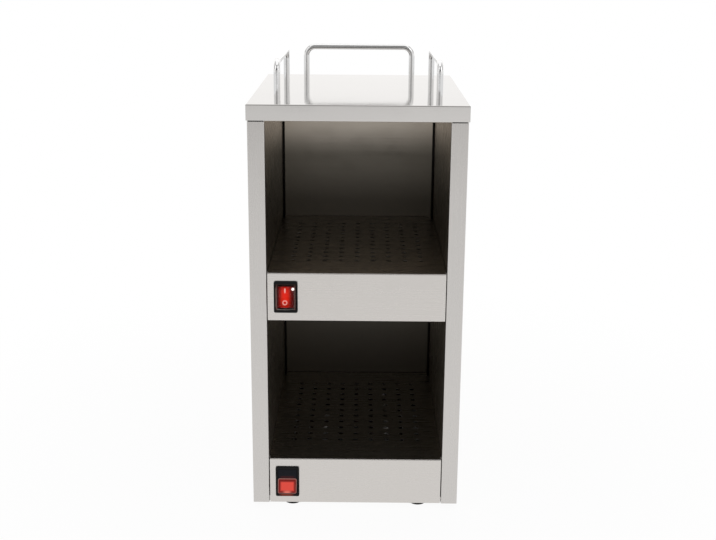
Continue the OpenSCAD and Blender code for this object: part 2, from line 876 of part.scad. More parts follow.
// Cross bars under the heating tube, hung from the deck's side flanges
module element_bars(k) {
    z_bar = deck_top[k] - tube_drop - tube_r - bar_t;
    x_end = deck_x - t - 0.1;
    color("silver") placed() for (y = bar_y) difference() {
        union() {
            box([-x_end, y - bar_w / 2, z_bar], [x_end, y + bar_w / 2, z_bar + bar_t]);
            both_sides() box([x_end - bar_t, y - bar_w / 2, z_bar],
                [x_end, y + bar_w / 2, deck_top[k] - 6]);
        }
        for (x = leg_x, s = [-1, 1]) translate([x + s * (tube_r + 4), y, z_bar - 1]) {
            cylinder(r = m3 + 0.1, h = bar_t + 2);
        }
    }
}

module element_bars_upper() {
    element_bars(UPPER);
}

module element_bars_lower() {
    element_bars(LOWER);
}

// Saddle clips over the tube, one with its two screws for each leg and bar
module element_clips(k) {
    r = tube_r + 0.1;
    color("lightgray") placed() for (x = leg_x, y = bar_y) {
        translate([x, y, deck_top[k] - tube_drop]) {
            along_y(-5, 5) {
                difference() {
                    union() {
                        circle(r = r + clip_t);
                        translate([-r - clip_t, -r]) square([2 * (r + clip_t), r]);
                        translate([-r - 7, 0.1 - r]) square([2 * (r + 7), clip_t]);
                    }
                    circle(r = r);
                    translate([-r, -r - 2]) square([2 * r, r + 2]);
                    translate([-r - 9, -r - 2]) square([2 * (r + 9), 2.1]);
                }
            }
            for (s = [-1, 1]) translate([s * (tube_r + 4), 0, clip_t + 0.1 - r]) {
                cylinder(r = 2.4, h = 1.4);
                translate([0, 0, -clip_t - bar_t - 1]) cylinder(r = m3, h = clip_t + bar_t + 1);
            }
        }
    }
}

module element_clips_upper() {
    element_clips(UPPER);
}

module element_clips_lower() {
    element_clips(LOWER);
}

// Snap disc thermostat held against the deck's underside
module thermostat(k) {
    color("dimgray") placed() translate([thermo[0], thermo[1], deck_top[k] - t]) {
        difference() {
            union() {
                translate([0, 0, -3]) cylinder(r = 7.75, h = 3);
                translate([0, 0, -thermo_l]) cylinder(r = 8.2, h = thermo_l - 3);
                translate([-4, -thermo_pitch / 2 - 3, -1.6]) cube([8, thermo_pitch + 6, 0.8]);
            }
            for (s = [-1, 1]) translate([0, s * thermo_pitch / 2, -3]) cylinder(r = 1.7, h = 4);
        }
        for (s = [-1, 1]) translate([-3.1, 4 * s - 0.4, -thermo_l - 8]) cube([6.2, 0.8, 8.5]);
    }
}

module thermostat_upper() {
    thermostat(UPPER);
}

module thermostat_lower() {
    thermostat(LOWER);
}

// Welded studs with their nuts, two for each thermostat
module thermostat_studs() {
    color("silver") placed() for (k = [LOWER, UPPER], s = [-1, 1]) {
        translate([thermo[0], thermo[1] + s * thermo_pitch / 2, deck_top[k] - t]) {
            translate([0, 0, -7]) cylinder(r = m3, h = 7);
            translate([0, 0, -4.1]) cylinder(r = 3, h = 2.4, $fn = 6);
        }
    }
}

// Mains entry

module terminal_block() {
    l = 3 * pole;
    color("ivory") placed() translate([block[0], block[1], block_z]) difference() {
        union() {
            translate([-l / 2, -10, 0]) cube([l, 20, 5]);
            for (x = [-pole, 0, pole]) block_tower(x);
        }
        for (x = [-pole, 0, pole]) {
            rod_y(x, clamp_z - block_z, 3.05, -11, 11);
            for (y = [-5, 5]) translate([x, y, clamp_z - block_z]) cylinder(r = 2.6, h = 12);
        }
    }
}

module block_tower(x) {
    translate([x, 0, 0]) along_y(-9, 9) {
        translate([-5, 4]) square([10, 6]);
        translate([-4, 9]) square([8, 6]);
    }
}

module terminal_block_clamps() {
    color("goldenrod") placed() for (x = [-pole, 0, pole]) {
        translate([block[0] + x, block[1], clamp_z]) difference() {
            union() {
                rod_y(0, 0, 3, -8.5, 8.5);
                for (y = [-5, 5]) translate([0, y, 1]) cylinder(r = 2.4, h = 6);
            }
            rod_y(0, 0, wire_r + 0.3, -9, 9);
            for (y = [-5, 5]) translate([-3, y - 0.4, 6]) cube([6, 0.8, 2]);
        }
    }
}

module earth_stud() {
    color("goldenrod") placed() translate([earth[0], earth[1], block_z]) {
        cylinder(r = m4, h = 12);
        cylinder(r = 4.5, h = 1);
        translate([0, 0, 1]) cylinder(r = 4, h = 3.2, $fn = 6);
    }
}

module gland_at() {
    translate([gland_x, rear_y, gland_z]) rotate([-90, 0, 0]) children();
}

module cable_gland() {
    color("dimgray") placed() gland_at() difference() {
        union() {
            translate([0, 0, -gland_in]) cylinder(r = thread_r, h = gland_in);
            cylinder(r = 11, h = gland_hex, $fn = 6);
            cylinder(r = thread_r - 0.3, h = seal_y[1] - 1);
        }
        translate([0, 0, -gland_in - 1]) cylinder(r = cable_r + 1.2, h = 30);
        translate([0, 0, seal_y[0]]) cylinder(r = 5.8, h = 20);
    }
}

module gland_seal() {
    color("black") placed() gland_at() translate([0, 0, seal_y[0]]) difference() {
        cylinder(r = 5.7, h = seal_y[1] - seal_y[0]);
        translate([0, 0, -1]) cylinder(r = cable_r, h = 12);
    }
}

module gland_nut() {
    r = 10;
    color("dimgray") placed() gland_at() difference() {
        union() {
            translate([0, 0, gland_hex + 0.4]) cylinder(r = 11, h = 6, $fn = 6);
            rotate_extrude() {
                translate([0, gland_hex + 0.4]) square([9.4, 8]);
                translate([0, gland_hex + 0.4]) square([5.4, gland_l - gland_hex - 0.4]);
                translate([5.4, gland_l - 5.8]) intersection() {
                    circle(r = 4);
                    square([r, r]);
                }
                translate([0, gland_l - 6.2]) square([9.4, 0.4]);
                translate([0, gland_l - 5.8]) square([5.4, 4]);
            }
        }
        translate([0, 0, gland_hex]) cylinder(r = thread_r - 0.2, h = seal_y[1] - gland_hex + 0.2);
        translate([0, 0, seal_y[1]]) cylinder(r = cable_r + 0.8, h = 10);
    }
}

module gland_locknut() {
    color("dimgray") placed() gland_at() translate([0, 0, -t - 4.5]) difference() {
        cylinder(r = 11.5, h = 4.5, $fn = 6);
        translate([0, 0, -1]) cylinder(r = thread_r + fit, h = 7);
    }
}

module cable_grommet() {
    color("black") placed() translate([0, liner_y, wire_hole_z]) rotate([-90, 0, 0]) {
        rotate_extrude() polygon([[6, -1.6], [9.6, -1.6], [9.6, -0.1], [wire_hole_r - 0.1, -0.1],
            [wire_hole_r - 0.1, t + 0.1], [9.6, t + 0.1], [9.6, t + 1.6], [6, t + 1.6]]);
    }
}

// Wires

// Round tube swept along a route with its corners cut twice
module wire(route) {
    sides = 8;
    p = rounded(rounded(route));
    n = len(p);
    s = [for (i = 0, v = side_start(tangent(p, 0)); i < n;
        i = i + 1, v = carried(v, tangent(p, min(i, n - 1)))) v];
    points = [for (i = [0:n - 1]) let (d = tangent(p, i), u = carried(s[i], d), w = cross(d, u))
        for (a = [0:sides - 1]) p[i] + wire_r * (u * cos(a * 360 / sides)
            + w * sin(a * 360 / sides))];
    walls = [for (i = [0:n - 2], a = [0:sides - 1]) let (b = (a + 1) % sides)
        [i * sides + a, i * sides + b, (i + 1) * sides + b, (i + 1) * sides + a]];
    ends = [[for (a = [sides - 1:-1:0]) a], [for (a = [0:sides - 1]) (n - 1) * sides + a]];
    faces = [for (f = concat(walls, ends)) [for (i = [len(f) - 1:-1:0]) f[i]]];
    polyhedron(points = points, faces = faces);
}

module wiring_lower() {
    color("saddlebrown") placed() {
        for (r = [live_in, neutral_in, live_out, heater_in, neutral_out, earth_lead]) wire(r);
    }
}

module wiring_upper() {
    color("saddlebrown") placed() {
        for (r = [riser_live, riser_neutral]) wire(r);
        for (r = [live_out, heater_in, neutral_out]) wire(raised(r));
    }
}

top_cap();
ceiling_panel();
left_side_panel();
right_side_panel();
back_panel();
inner_back_panel();
bottom_plate();
upper_deck();
lower_deck();
upper_deck_cover();
side_rail_left();
side_rail_right();
back_rail();
rail_screws();
rail_washers();
foot_front_left();
foot_front_right();
foot_rear_left();
foot_rear_right();
foot_screws();
foot_nuts();
bottom_plate_screws();
back_panel_screws();
deck_cover_screws();
deck_rivets();
switch_frame_upper();
rocker_upper();
splash_cover_upper();
switch_terminals_upper();
switch_frame_lower();
rocker_lower();
rocker_lens_lower();
switch_terminals_lower();
heating_element_upper();
element_terminals_upper();
element_bars_upper();
element_clips_upper();
thermostat_upper();
heating_element_lower();
element_terminals_lower();
element_bars_lower();
element_clips_lower();
thermostat_lower();
thermostat_studs();
terminal_block();
terminal_block_clamps();
earth_stud();
cable_gland();
gland_nut();
gland_seal();
gland_locknut();
cable_grommet();
wiring_upper();
wiring_lower();
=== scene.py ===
"""Looks of the plate warmer cabinet: camera, light, finishes and printed marks."""

import math

import bmesh
import bpy
from mathutils import Matrix, Vector

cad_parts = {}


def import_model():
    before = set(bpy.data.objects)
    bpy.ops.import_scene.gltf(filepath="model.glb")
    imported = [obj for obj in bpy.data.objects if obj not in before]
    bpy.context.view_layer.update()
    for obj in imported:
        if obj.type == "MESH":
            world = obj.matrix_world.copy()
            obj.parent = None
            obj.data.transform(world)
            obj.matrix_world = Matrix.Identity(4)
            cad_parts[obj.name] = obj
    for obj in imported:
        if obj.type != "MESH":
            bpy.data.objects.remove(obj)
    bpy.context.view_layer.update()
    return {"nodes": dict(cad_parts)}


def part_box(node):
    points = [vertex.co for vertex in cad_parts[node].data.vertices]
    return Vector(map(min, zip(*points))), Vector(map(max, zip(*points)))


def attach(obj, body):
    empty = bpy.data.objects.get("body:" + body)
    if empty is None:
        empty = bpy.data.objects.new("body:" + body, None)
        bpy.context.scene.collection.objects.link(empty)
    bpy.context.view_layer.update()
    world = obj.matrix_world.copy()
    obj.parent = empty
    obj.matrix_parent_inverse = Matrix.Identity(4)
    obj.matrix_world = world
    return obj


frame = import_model()
nodes = frame["nodes"]

mm = 0.001

# Camera, solved from the photograph
PHOTO_WIDTH = 716
CAMERA_AT = Vector((5.175, -1511.47, 688.71)) * mm
YAW = math.radians(-0.160)
PITCH = math.radians(15.571)
ROLL = math.radians(0.444)
FOCAL_PIXELS = 1162.95
SENSOR = 36.0

# The cabinet, read from its own nodes
front_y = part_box("top_cap")[0].y
back_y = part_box("back_panel")[1].y
side_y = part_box("right_side_panel")[1].y
shell_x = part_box("right_side_panel")[1].x

# Switches, as in the part's source
SWITCH_X = -85.5 * mm
FACE_Y = front_y + 1.2 * mm
upper_pivot = Vector((SWITCH_X, FACE_Y, 280.2 * mm))
lower_pivot = Vector((SWITCH_X, FACE_Y, 37.2 * mm))
TILT = math.radians(10)
CROWN = 3 * mm
LOWER_CROWN = 2.7 * mm
LOWER_CREASE = 5 * mm
LENS = (23.4 * mm, 18.6 * mm, 1.8 * mm)
LENS_OFF = 0.9 * mm
COVER = (24.6 * mm, 35.4 * mm, 3 * mm)
# The lower rocker's crease above its pivot, at rest
crease_up = LOWER_CREASE * math.cos(TILT) + LOWER_CROWN * math.sin(TILT)

# Steel inside the compartments is painted with light and shade: half their width, the heights
# between which the painted shade deepens and those between which the upper compartment ends.
# The painted shades are those under the ceiling, above the upper deck and in the lower
# compartment.
BAY_X = 108.5 * mm
SHADE_LOW = 395 * mm
SHADE_HIGH = 460 * mm
UPPER_END = (240 * mm, 290 * mm)
BACK_SHADES = [(0.55, 0.495, 0.43, 1), (0.14, 0.127, 0.107, 1), (0.080, 0.073, 0.062, 1)]
SIDE_SHADES = [(0.66, 0.595, 0.515, 1), (0.30, 0.275, 0.23, 1), (0.52, 0.475, 0.41, 1)]
DECK_SHADES = [(0.34, 0.305, 0.265, 1), (0.34, 0.305, 0.265, 1), (0.62, 0.57, 0.50, 1)]
# Painted shade for sheet faces in the dark gaps between outer and inner sheets
GAP_SHADE = (0.02, 0.018, 0.016, 1)

# Grain of ground sheet, in scratches per metre across and along it
FINE_GRAIN = (2600, 14)
BROAD_GRAIN = (420, 4)

BLACK = (0, 0, 0, 1)

# Room: the lamps' common aim, and the direction of its dark end as X and Y
AIM = (0, 0, 0.3)
DARK_END = (-0.174, -0.985)
FLOOR_RADIUS = 8.0


def camera():
    """Places the camera where the photograph was taken."""
    data = bpy.data.cameras.new("photo_camera")
    data.sensor_width = SENSOR
    data.lens = FOCAL_PIXELS * SENSOR / PHOTO_WIDTH
    data.clip_start = 0.05
    ahead = Vector((
        math.sin(YAW) * math.cos(PITCH),
        math.cos(YAW) * math.cos(PITCH),
        -math.sin(PITCH),
    ))
    level = Vector((math.cos(YAW), -math.sin(YAW), 0))
    above = level.cross(ahead)
    right = level * math.cos(ROLL) + above * math.sin(ROLL)
    up = above * math.cos(ROLL) - level * math.sin(ROLL)
    place = Matrix((right, up, -ahead)).transposed().to_4x4()
    place.translation = CAMERA_AT
    made = bpy.data.objects.new("photo_camera", data)
    made.matrix_world = place
    bpy.context.scene.collection.objects.link(made)
    bpy.context.scene.camera = made


# Shader networks


class Link:
    """A socket whose arithmetic adds Math nodes to its network."""

    def __init__(self, network, socket):
        self.network = network
        self.socket = socket

    def math(self, operation, *values):
        return self.network.add("ShaderNodeMath", {"operation": operation}, values)

    def __add__(self, other):
        return self.math("ADD", self, other)

    def __radd__(self, other):
        return self.math("ADD", other, self)

    def __sub__(self, other):
        return self.math("SUBTRACT", self, other)

    def __rsub__(self, other):
        return self.math("SUBTRACT", other, self)

    def __mul__(self, other):
        return self.math("MULTIPLY", self, other)

    def __rmul__(self, other):
        return self.math("MULTIPLY", other, self)

    def __truediv__(self, other):
        return self.math("DIVIDE", self, other)

    def __abs__(self):
        return self.math("ABSOLUTE", self)

    def power(self, other):
        return self.math("POWER", self, other)

    def wave(self, length):
        """Sine wave of a length, from -1 to 1."""
        return self.math("SINE", self * (2 * math.pi / length))

    def most(self, other):
        return self.math("MAXIMUM", self, other)

    def least(self, other):
        return self.math("MINIMUM", self, other)

    def rise(self, low, high):
        """Goes smoothly from 0 at low to 1 at high."""
        return self.network.add(
            "ShaderNodeMapRange",
            {"interpolation_type": "SMOOTHSTEP"},
            {"Value": self, "From Min": low, "From Max": high},
        )


class Network:
    """The nodes of one material or of the world."""

    def __init__(self, owner):
        owner.use_nodes = True
        self.tree = owner.node_tree

    def join(self, socket, value):
        """Links a socket to a Link, or sets its value."""
        if isinstance(value, Link):
            self.tree.links.new(value.socket, socket)
        else:
            socket.default_value = value

    def add(self, kind, settings=None, values=(), output=0):
        """Adds a node, sets its settings, then its sockets by name or in order."""
        made = self.tree.nodes.new(kind)
        for name, value in (settings or {}).items():
            if name == "stops":
                ramp = made.color_ramp.elements
                while len(ramp) < len(value):
                    ramp.new(0.5)
                for stop, (place, colour) in zip(ramp, value):
                    stop.position = place
                    stop.color = colour
            else:
                setattr(made, name, value)
        pairs = values.items() if isinstance(values, dict) else enumerate(values)
        for key, value in pairs:
            self.join(made.inputs[key], value)
        return Link(self, made.outputs[output]) if made.outputs else None

    def split(self, vector):
        """The three parts of a vector."""
        first = self.add("ShaderNodeSeparateXYZ", None, [vector])
        return [Link(self, socket) for socket in first.socket.node.outputs]

    def blend(self, factor, first, second):
        """Colour between first and second."""
        return self.add(
            "ShaderNodeMix",
            {"data_type": "RGBA"},
            {0: factor, 6: first, 7: second},
            output=2,
        )


class Finish(Network):
    """A material round one Principled shader."""

    def __init__(self, name, **sockets):
        self.material = bpy.data.materials.new(name)
        super().__init__(self.material)
        self.shader = self.tree.nodes["Principled BSDF"]
        self.place = self.add("ShaderNodeTexCoord", output="Object")
        self.set(**sockets)

    def set(self, **sockets):
        """Sets the shader's sockets, written with underscores for spaces."""
        for name, value in sockets.items():
            self.join(self.shader.inputs[name.replace("_", " ")], value)

    def axes(self):
        """The three coordinates of the place on the piece, in metres."""
        return self.split(self.place)

    def facing(self):
        """The three parts of the surface's own direction, without sign."""
        normal = self.add("ShaderNodeNewGeometry", output="Normal")
        return [abs(part) for part in self.split(normal)]

    def noise(self, scale, detail=2.0, roughness=0.5, shift=0.0):
        """Noise from 0 to 1; scale is its grains per metre, for all axes or for each."""
        if isinstance(scale, (int, float)):
            scale = (scale, scale, scale)
        spread = self.add(
            "ShaderNodeMapping",
            None,
            {"Vector": self.place, "Location": (shift, shift, shift), "Scale": scale},
        )
        return self.add(
            "ShaderNodeTexNoise",
            None,
            {"Vector": spread, "Scale": 1.0, "Detail": detail, "Roughness": roughness},
        )

    def depth(self, across, up, size):
        """How deep a place lies inside a rectangle with round corners."""
        width, height, radius = size
        right = abs(across) - (width / 2 - radius)
        top = abs(up) - (height / 2 - radius)
        corner = (right.most(0) * right.most(0) + top.most(0) * top.most(0)).power(0.5)
        return radius - corner - right.most(top).least(0)

    def bump(self, height, distance, strength=1.0):
        """Normal of a surface raised by a height from 0 to 1 times a distance."""
        return self.add(
            "ShaderNodeBump",
            None,
            {"Strength": strength, "Distance": distance, "Height": height},
        )


# Metals


def grey(level, warm=0.0):
    """A grey, made warmer towards red by a small share."""
    return (level * (1 + warm), level, level * (1 - warm), 1)


def drawn(grain, axis):
    """Grains per metre along X, Y and Z where the grain runs along one axis."""
    across, along = grain
    return [along if axis == each else across for each in "xyz"]


def rolled_sheet(
    name, grain, level, dull, warm, inside, shades=BACK_SHADES, gaps=None, score=1.0,
):
    """Ground stainless sheet whose grain runs along one axis.

    inside(finish) says where the sheet faces a compartment. It is painted there with light
    and shade, the shade deepening downwards in the upper compartment: shades are those under
    the ceiling, above the upper deck and in the lower compartment. gaps(finish) says where it
    faces a dark gap, which is painted with shade.
    score is the depth of the grain.
    """
    made = Finish(name, Metallic=1.0)
    lines = made.noise(drawn(FINE_GRAIN, grain), 1.0, 0.4)
    bands = made.noise(drawn(BROAD_GRAIN, grain), 2.0, 0.5, 3.1)
    if grain == "x":
        # Faces that look along the grain get it upright instead
        end = made.facing()[0].rise(0.6, 0.8)
        turned = made.noise(drawn(FINE_GRAIN, "z"), 1.0, 0.4)
        lines = lines + (turned - lines) * end
        turned = made.noise(drawn(BROAD_GRAIN, "z"), 2.0, 0.5, 3.1)
        bands = bands + (turned - bands) * end
    clouds = made.noise(7, 2.0, 0.5, 1.7)
    handling = made.noise(38, 4.0, 0.6, 5.3).rise(0.45, 0.75)
    tone = lines * 0.5 + bands * 0.2 + clouds * 0.3
    bright = made.blend(tone, grey(level * 0.97, warm), grey(level * 1.03, warm))
    x, y, z = made.axes()
    # Painted light and shade where the sheet faces a compartment, darker lower in the upper
    # compartment
    shade_ramp = 1 - z.rise(SHADE_LOW, SHADE_HIGH)
    lower = 1 - z.rise(*UPPER_END)
    shaded = made.blend(shade_ramp + (clouds - 0.5) * 0.1, shades[0], shades[1])
    shaded = made.blend(lower, shaded, shades[2])
    colour = made.blend(inside(made), bright, shaded)
    # Painted shade where the sheet faces a dark gap
    if gaps:
        colour = made.blend(gaps(made), colour, GAP_SHADE)
    made.set(
        Base_Color=colour,
        Roughness=dull * (0.9 + (lines - 0.5) * 0.3 + bands * 0.2 + handling * 0.1),
    )
    swell = made.noise(11, 1.0, 0.4, 8.8)
    height = (lines * 0.0025 + bands * 0.0012) * score + swell * 0.06
    made.set(Normal=made.bump(height, 4 * mm))
    return made.material


def everywhere(made):
    """A part that is all inside."""
    return 1.0


def inner_wall(made):
    """The face of a side panel's inner wall."""
    x, y, z = made.axes()
    within = 1 - abs(x).rise(BAY_X + 0.3 * mm, BAY_X + 1.0 * mm)
    return within * y.rise(FACE_Y + mm, FACE_Y + 4 * mm)


def deck_top(made):
    """The top of a deck behind its front fold."""
    x, y, z = made.axes()
    return made.facing()[2].rise(0.7, 0.95) * y.rise(FACE_Y + mm, FACE_Y + 4 * mm)


def hollow(rear):
    """Where a sheet faces dark gaps between outer and inner sheets and gets painted shade; rear
    is its back.
    """
    def where(made):
        x, y, z = made.axes()
        inner = 1 - abs(x).rise(shell_x - 0.6 * mm, shell_x - 0.3 * mm)
        wall = abs(x).rise(BAY_X + 0.4 * mm, BAY_X + 0.7 * mm)
        wall = wall * y.rise(FACE_Y + 2 * mm, FACE_Y + 4 * mm)
        return inner * wall.most(y.rise(rear - 12 * mm, rear - 10 * mm)) * (
            1 - y.rise(rear - 0.6 * mm, rear - 0.2 * mm)
        )
    return where


def nowhere(made):
    """A part that is all outside."""
    return 0.0


def polished_rod():
    """Drawn and polished rod with very fine rings of polish."""
    made = Finish("polished_rod", Metallic=1.0)
    rings = made.noise([900, 900, 2200], 2.0, 0.5)
    clouds = made.noise(60, 2.0, 0.5, 2.2)
    made.set(
        Base_Color=made.blend(clouds, grey(0.80), grey(0.86)),
        Roughness=0.11 + rings * 0.04 + clouds * 0.03,
        Normal=made.bump(rings, 0.01 * mm, 0.5),
    )
    return made.material


def plated():
    """Zinc plated steel with a faint bloom."""
    made = Finish("zinc_plate", Metallic=1.0)
    bloom = made.noise(160, 3.0, 0.6)
    grain = made.noise(2400, 2.0, 0.5, 4.4)
    made.set(
        Base_Color=made.blend(bloom, (0.50, 0.52, 0.55, 1), (0.62, 0.61, 0.58, 1)),
        Roughness=0.28 + bloom * 0.14,
        Normal=made.bump(grain, 0.03 * mm, 0.6),
    )
    return made.material


def stamped_brass():
    """Brass of terminals and clamps, a little stained."""
    made = Finish("stamped_brass", Metallic=1.0)
    stain = made.noise(220, 3.0, 0.6)
    made.set(
        Base_Color=made.blend(stain, (0.56, 0.37, 0.13, 1), (0.72, 0.52, 0.22, 1)),
        Roughness=0.24 + stain * 0.16,
        Normal=made.bump(stain, 0.04 * mm, 0.5),
    )
    return made.material


def heated_sheath():
    """Heater tube coloured straw and blue along it by heating."""
    made = Finish("heated_sheath", Metallic=1.0)
    tint = made.noise([30, 18, 30], 3.0, 0.6)
    scale = made.noise(900, 3.0, 0.6, 6.1)
    colour = made.add(
        "ShaderNodeValToRGB",
        {"stops": [
            (0.30, (0.17, 0.15, 0.14, 1)),
            (0.48, (0.26, 0.19, 0.13, 1)),
            (0.60, (0.20, 0.15, 0.18, 1)),
            (0.72, (0.13, 0.15, 0.20, 1)),
        ]},
        [tint],
    )
    made.set(
        Base_Color=colour,
        Roughness=0.38 + scale * 0.2,
        Normal=made.bump(scale, 0.05 * mm, 0.6),
    )
    return made.material


# Plastics, rubber and ceramic


def moulded(name, colour, dull, grain=1800, height=0.02, shine=0.3):
    """Moulded part with a fine spark-eroded texture."""
    made = Finish(name, Specular_IOR_Level=shine)
    texture = made.noise(grain, 2.0, 0.6)
    flow = made.noise(90, 2.0, 0.5, 3.3)
    light = tuple(min(1.0, c * 1.35) for c in colour) + (1,)
    dark = tuple(c * 0.8 for c in colour) + (1,)
    made.set(
        Base_Color=made.blend(flow, dark, light),
        Roughness=dull + (flow - 0.5) * 0.08 + (texture - 0.5) * 0.05,
        Normal=made.bump(texture, height * mm),
    )
    return made.material


def rubber():
    """Matt black rubber with some dust."""
    made = Finish("moulded_rubber", Specular_IOR_Level=0.15)
    grain = made.noise(1500, 3.0, 0.7)
    dust = made.noise(70, 4.0, 0.6, 2.8).rise(0.5, 0.8)
    made.set(
        Base_Color=made.blend(dust, (0.007, 0.007, 0.008, 1), (0.018, 0.017, 0.016, 1)),
        Roughness=0.62 + grain * 0.2,
        Normal=made.bump(grain, 0.06 * mm, 0.7),
    )
    return made.material


def lit_rocker(pivot):
    """Red rocker with a lamp behind its middle."""
    made = Finish("lit_red_rocker", Emission_Strength=1.0, Specular_IOR_Level=0.1)
    x, y, z = made.axes()
    across = 1 - abs(x - pivot.x + 0.6 * mm).rise(1.5 * mm, 8.6 * mm)
    along = 1 - abs(z - pivot.z - 1.5 * mm).rise(3.0 * mm, 15 * mm)
    ribs = (x - pivot.x).wave(2.6 * mm) * 0.08
    glow = across * (0.35 + along * 0.65) * (1 + ribs)
    cloud = made.noise(420, 2.0, 0.5)
    made.set(
        Base_Color=made.blend(glow, (0.10, 0.004, 0.003, 1), (0.30, 0.010, 0.004, 1)),
        Emission_Color=made.blend(glow, (0.022, 0.001, 0.001, 1), (0.56, 0.010, 0.002, 1)),
        Roughness=0.20 + cloud * 0.08,
        Normal=made.bump(cloud, 0.02 * mm, 0.5),
    )
    return made.material


def lit_lens(pivot):
    """Red lens with a painted pale edge highlight, a lamp behind it and moulded prisms on its
    back.
    """
    made = Finish("lit_red_lens", Emission_Strength=1.0, Specular_IOR_Level=0.4)
    x, y, z = made.axes()
    down = (pivot.z + crease_up - z) / math.cos(2 * TILT)
    across = x - pivot.x
    deep = made.depth(across, down - LENS_OFF - LENS[1] / 2, LENS)
    # The pale edge and a pale patch low in the middle are painted highlights
    painted_rim_light = 1 - deep.rise(0.4 * mm, 1.2 * mm)
    glow = deep.rise(1.8 * mm, 5.0 * mm)
    top_shade = down.rise(3.4 * mm, 6.2 * mm)
    prisms = across.wave(1.7 * mm) * down.wave(1.7 * mm) * 0.5 + 0.5
    painted_low_highlight = down.rise(14.5 * mm, 17.6 * mm) * (1 - abs(across).rise(1.0 * mm, 7.0 * mm))
    glow = glow * top_shade * (0.84 + prisms * 0.16)
    lit = made.blend(glow, (0.085, 0.004, 0.003, 1), (0.66, 0.066, 0.046, 1))
    lit = made.blend(painted_low_highlight, lit, (0.62, 0.16, 0.12, 1))
    made.set(
        Base_Color=made.blend(painted_rim_light, (0.14, 0.012, 0.010, 1), (0.30, 0.16, 0.14, 1)),
        Emission_Color=made.blend(painted_rim_light, lit, (0.10, 0.034, 0.028, 1)),
        Roughness=0.16 + prisms * 0.06,
        Normal=made.bump(prisms * (1 - painted_rim_light), 0.05 * mm, 0.5),
    )
    return made.material


def dark_rocker(pivot):
    """Glossy black rocker with a faint painted red glow of the lamp beside the lens and a bluish
    painted sheen.
    """
    made = Finish("glossy_black_moulding", Emission_Strength=1.0, Specular_IOR_Level=0.10)
    x, y, z = made.axes()
    # Painted red glow near the crease by the lens, over a faint painted bluish sheen everywhere
    near = 1 - abs(z - pivot.z - crease_up - 0.6 * mm).rise(0.8 * mm, 2.4 * mm)
    glow = near * (1 - abs(x - pivot.x).rise(6 * mm, 11 * mm))
    flow = made.noise(90, 2.0, 0.5, 3.3)
    made.set(
        Base_Color=made.blend(flow, (0.007, 0.008, 0.012, 1), (0.011, 0.012, 0.017, 1)),
        Emission_Color=made.blend(glow, (0.0005, 0.0006, 0.001, 1), (0.030, 0.002, 0.001, 1)),
        Roughness=0.12 + flow * 0.08,
        Normal=made.bump(flow, 0.01 * mm),
    )
    return made.material


def lit_frame(pivot):
    """Black frame with painted red light from the lens above it on its lower edge."""
    made = Finish("frame_by_the_lens", Emission_Strength=1.0, Specular_IOR_Level=0.12)
    x, y, z = made.axes()
    # Painted red light from the lens, on the frame's lower edge
    below = pivot.z - 16.2 * mm - z
    near = below.rise(-0.6 * mm, 0.6 * mm) * (1 - below.rise(2.0 * mm, 4.2 * mm))
    near = near * (1 - abs(x - pivot.x + 1 * mm).rise(4 * mm, 11 * mm))
    texture = made.noise(1800, 2.0, 0.6)
    made.set(
        Base_Color=made.blend(texture, (0.005, 0.005, 0.005, 1), (0.009, 0.009, 0.009, 1)),
        Emission_Color=made.blend(near, BLACK, (0.17, 0.030, 0.016, 1)),
        Roughness=0.22 + texture * 0.08,
        Normal=made.bump(texture, 0.02 * mm),
    )
    return made.material


def printed_mark():
    """Pad printed mark, lit a little through the red."""
    made = Finish("pad_print", Emission_Strength=1.0)
    grain = made.noise(2600, 2.0, 0.6)
    made.set(
        Base_Color=made.blend(grain, (0.62, 0.42, 0.36, 1), (0.74, 0.54, 0.48, 1)),
        Emission_Color=made.blend(grain, (0.26, 0.06, 0.04, 1), (0.34, 0.09, 0.06, 1)),
        Roughness=0.45 + grain * 0.15,
        Normal=made.bump(grain, 0.02 * mm),
    )
    return made.material


def clear_cover(pivot):
    """Clear flexible splash cover with a painted lamp glint on one corner and painted light on
    its bend.
    """
    made = Finish("clear_cover", Transmission_Weight=1.0, IOR=1.12, Emission_Strength=1.0)
    x, y, z = made.axes()
    haze = made.noise(260, 3.0, 0.6)
    inward = made.depth(x - pivot.x, z - pivot.z, COVER)
    wall = 1 - inward.rise(0.8 * mm, 2.6 * mm)
    bend = wall * inward.rise(0.2 * mm, 1.0 * mm)
    aside = x - pivot.x - 9.1 * mm
    above = z - pivot.z - 12.0 * mm
    off = (aside * aside + above * above).power(0.5)
    # A painted glint of a lamp on the upper right corner, and painted light along the bend of
    # the walls
    glint = (1 - off.rise(0.9 * mm, 2.1 * mm)) * (1 - y.rise(FACE_Y - 5.5 * mm, FACE_Y - 4 * mm))
    painted_rim_light = made.blend(bend, BLACK, (0.055, 0.030, 0.026, 1))
    made.set(
        Base_Color=made.blend(wall, (0.96, 0.95, 0.95, 1), (0.50, 0.36, 0.34, 1)),
        Emission_Color=made.blend(glint, painted_rim_light, (0.85, 0.78, 0.74, 1)),
        Roughness=0.03 + haze * 0.06,
        Normal=made.bump(haze, 0.05 * mm, 0.5),
    )
    return made.material


def ceramic():
    """Unglazed steatite."""
    made = Finish("steatite")
    grain = made.noise(1100, 4.0, 0.7)
    stain = made.noise(90, 3.0, 0.6, 7.7)
    made.set(
        Base_Color=made.blend(stain, (0.66, 0.63, 0.55, 1), (0.80, 0.78, 0.72, 1)),
        Roughness=0.5 + grain * 0.2,
        Normal=made.bump(grain, 0.06 * mm),
    )
    return made.material


